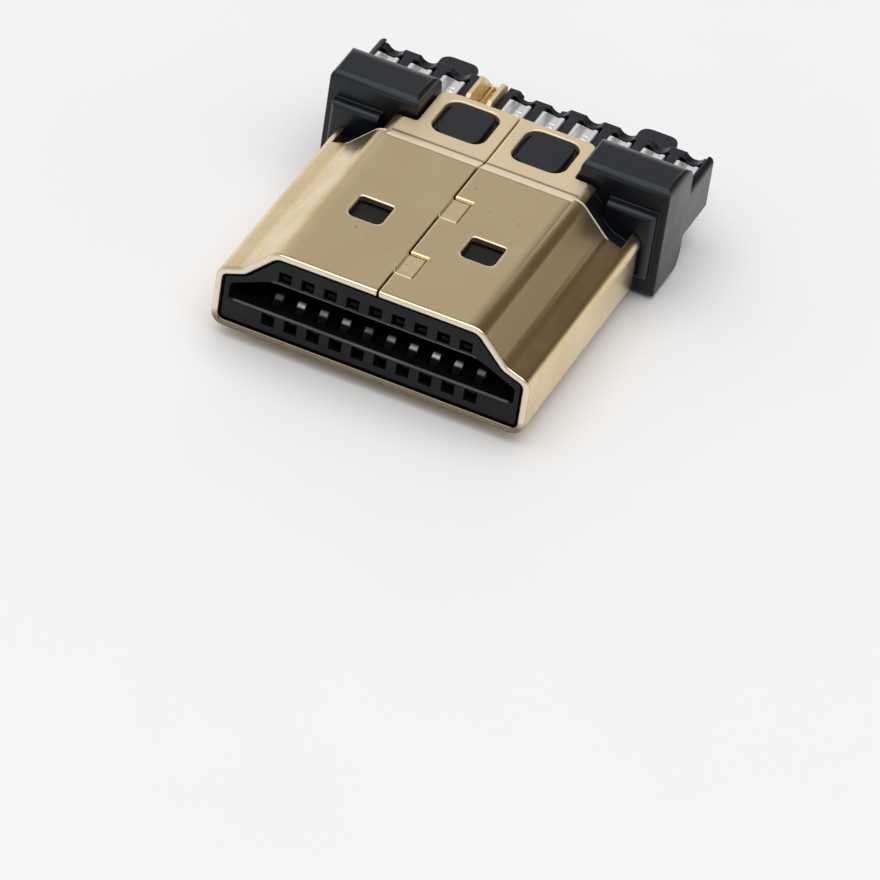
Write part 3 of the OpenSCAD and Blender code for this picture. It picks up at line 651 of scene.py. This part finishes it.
def easedCopy(node, put, shared):
    work = bmesh.new()
    work.from_mesh(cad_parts[node].data)
    bmesh.ops.scale(work, vec=(1 / mm,) * 3, verts=work.verts)
    bmesh.ops.remove_doubles(work, verts=work.verts, dist=shared["weld"])
    bmesh.ops.dissolve_degenerate(work, dist=shared["weld"] / 3, edges=work.edges)
    flat = math.radians(shared["flatAngle"])
    bmesh.ops.dissolve_limit(work, angle_limit=flat, verts=work.verts, edges=work.edges)
    widest = max(value for key, value in put.items() if key in ("radius", "rim", "lock", "fold"))
    weight = work.edges.layers.float.new("bevel_weight_edge")
    sharp = math.radians(shared["edgeAngle"])
    for edge in work.edges:
        angle = edge.calc_face_angle(0.0) if len(edge.link_faces) == 2 else 0.0
        if angle > sharp:
            edge[weight] = edgeRadius(edge, put) / widest
        elif "fold" in put and angle > sharp / 2:
            run = edge.verts[1].co - edge.verts[0].co
            level = abs(run.x) > max(put["foldLength"], put["foldAlong"] * run.length)
            edge[weight] = put["fold"] / widest if level else 0.0
    draft = bpy.data.meshes.new(put["piece"] + "Draft")
    work.to_mesh(draft)
    work.free()
    shape = bpy.data.objects.new(put["piece"] + "Draft", draft)
    bpy.context.scene.collection.objects.link(shape)
    ease = shape.modifiers.new("easedEdges", "BEVEL")
    ease.limit_method = "WEIGHT"
    ease.width = widest
    ease.segments = shared["steps"]
    ease.use_clamp_overlap = False
    ease.loop_slide = False
    eased = shape.evaluated_get(bpy.context.evaluated_depsgraph_get())
    mesh = bpy.data.meshes.new_from_object(eased)
    bpy.data.objects.remove(shape)
    mesh.name = put["piece"]
    mesh.shade_smooth()
    weighNormals(mesh, put)
    mesh.transform(Matrix.Scale(mm, 4))
    addPiece(mesh, put["slot"], put["finish"], node)


for node in ("shell", "front_insulator", "rear_block"):
    easedCopy(node, easeSet[node], easeSet)
for node in sorted(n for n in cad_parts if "contact" in n):
    row, _, count = node.split("_")
    easedCopy(node, {**easeSet["contact"], "piece": f"{row}Contact{count}"}, easeSet)
print("shell, mouldings and contacts eased")


# closed strings: rings of points carried along paths, with a pole at each end
# rings has the shape (strings, rings, points, 3) and ends has the shape (strings, 2, 3), in millimetres
def stringMesh(name, rings, ends):
    strings, count, around, _ = rings.shape
    each = count * around + 2
    points = np.concatenate([rings.reshape(strings, -1, 3), ends], axis=1).reshape(-1, 3)
    ring, spot = np.meshgrid(np.arange(count - 1), np.arange(around), indexing="ij")
    after = (spot + 1) % around
    walls = np.stack([ring, ring, ring + 1, ring + 1]) * around + np.stack([spot, after, after, spot])
    walls = walls.reshape(4, -1).T
    near = np.arange(around)
    far = (near + 1) % around
    first = np.stack([far, near, np.full(around, each - 2)], axis=1)
    last = np.stack([near, far, np.full(around, each - 1)], axis=1)
    last[:, :2] += (count - 1) * around
    shift = (np.arange(strings) * each)[:, None, None]
    quads = (walls[None] + shift).reshape(-1, 4)
    caps = (np.concatenate([first, last])[None] + shift).reshape(-1, 3)
    mesh = bpy.data.meshes.new(name)
    mesh.from_pydata((points * mm).tolist(), [], quads.tolist() + caps.tolist())
    mesh.shade_smooth()
    return mesh


# steps along a string and round its section, and how its size closes at both ends
def stringSteps(put):
    along = np.linspace(0.0, 1.0, put["stations"] + 2)[1:-1]
    turn = np.linspace(0.0, 2.0 * np.pi, put["around"], endpoint=False)
    closing = np.minimum(1.0, put["endEase"] * np.minimum(along, 1.0 - along)) ** 0.5
    return along, turn, closing


# beads pressed up from the floor of each cup: a string along the cup whose oval section swells and shrinks,
# half width = bead * sqrt(waist^2 + (1 - waist^2) * sin^2) with one sine arch for each bead
beadSet = {
    "count": 7,
    "pitch": 0.29,
    "half": 0.19,
    "height": 0.065,
    "waist": 0.72,
    "cups": 10,
    "cupWidth": 1.0,
    "floorBelowRim": 0.44,
    "sink": 0.02,
    "endBack": 0.42,
    "endEase": 14.0,
    "drainPlace": 4,
    "stations": 57,
    "around": 16,
}


def cupPlaces():
    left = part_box("lower_contact_1")[0][0] / mm + beadSet["cupWidth"] / 2
    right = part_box("lower_contact_10")[1][0] / mm - beadSet["cupWidth"] / 2
    return np.linspace(left, right, beadSet["cups"])


def beadRings(places, floor, side, put):
    along, turn, closing = stringSteps(put)
    swell = np.sin(np.pi * put["count"] * along) ** 2
    size = np.sqrt(put["waist"] ** 2 + (1 - put["waist"] ** 2) * swell) * closing
    length = put["count"] * put["pitch"]
    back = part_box("upper_contact_1")[1][1] / mm - put["endBack"]
    depth = back - length * (1.0 - along)
    rings = np.empty((len(places), len(along), len(turn), 3))
    rings[..., 0] = places[:, None, None] + put["half"] * size[None, :, None] * np.cos(turn)
    rings[..., 1] = depth[None, :, None]
    rings[..., 2] = floor + side * (put["height"] * size[None, :, None] * np.sin(turn) - put["sink"])
    ends = np.empty((len(places), 2, 3))
    ends[..., 0] = places[:, None]
    ends[..., 1] = np.array([back - length, back])
    ends[..., 2] = floor - side * put["sink"]
    return (rings if side < 0 else rings[:, :, ::-1]), ends


def makeBeads(put):
    places = cupPlaces()
    upper = np.delete(places, put["drainPlace"] - 1)
    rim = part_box("upper_contact_1")[1][2] / mm
    rings, ends = beadRings(upper, rim - put["floorBelowRim"], 1.0, put)
    addPiece(stringMesh("upperCupBeads", rings, ends), "tinned_metal", tinPlating)
    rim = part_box("lower_contact_1")[0][2] / mm
    rings, ends = beadRings(places, rim + put["floorBelowRim"], -1.0, put)
    addPiece(stringMesh("lowerCupBeads", rings, ends), "tinned_metal", tinPlating)


makeBeads(beadSet)
print("cup beads pressed")

# crimped ridges along the drain cup: round strings side by side, each swaying and swelling a little,
# x = place + sway * sin(waves), radius = half * (1 + swell * cos(waves))
drainSet = {
    "ridges": (-0.22, 0.0, 0.22),
    "half": (0.13, 0.15, 0.12),
    "phase": (0.3, 2.1, 4.0),
    "length": 2.35,
    "endBack": 0.12,
    "floorBelowRim": 0.46,
    "lift": 0.03,
    "sway": 0.012,
    "swell": 0.06,
    "waves": 3.5,
    "endEase": 12.0,
    "stations": 40,
    "around": 14,
}


def makeDrain(put):
    middle = cupPlaces()[beadSet["drainPlace"] - 1]
    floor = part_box("upper_contact_1")[1][2] / mm - put["floorBelowRim"]
    ridge, half, phase = (np.array(put[key])[:, None] for key in ("ridges", "half", "phase"))
    along, turn, closing = stringSteps(put)
    turn = turn[::-1]
    wave = 2.0 * np.pi * put["waves"] * along + phase
    size = half * (1.0 + put["swell"] * np.cos(wave)) * closing
    across = middle + ridge + put["sway"] * np.sin(wave)
    back = shellHigh[1] - put["endBack"]
    depth = np.broadcast_to(back - put["length"] * (1.0 - along), size.shape)
    rings = np.stack([
        across[..., None] + size[..., None] * np.cos(turn),
        np.broadcast_to(depth[..., None], size.shape + turn.shape),
        floor + put["lift"] + size[..., None] * np.sin(turn),
    ], axis=-1)
    ends = np.stack([
        np.stack([across[:, 0], across[:, -1]], axis=1),
        np.broadcast_to(np.array([back - put["length"], back]), (len(ridge), 2)),
        np.full((len(ridge), 2), floor + put["lift"]),
    ], axis=-1)
    addPiece(stringMesh("drainRidges", rings, ends), "gold_plate", drainPlating)


makeDrain(drainSet)
print("drain ridges crimped")
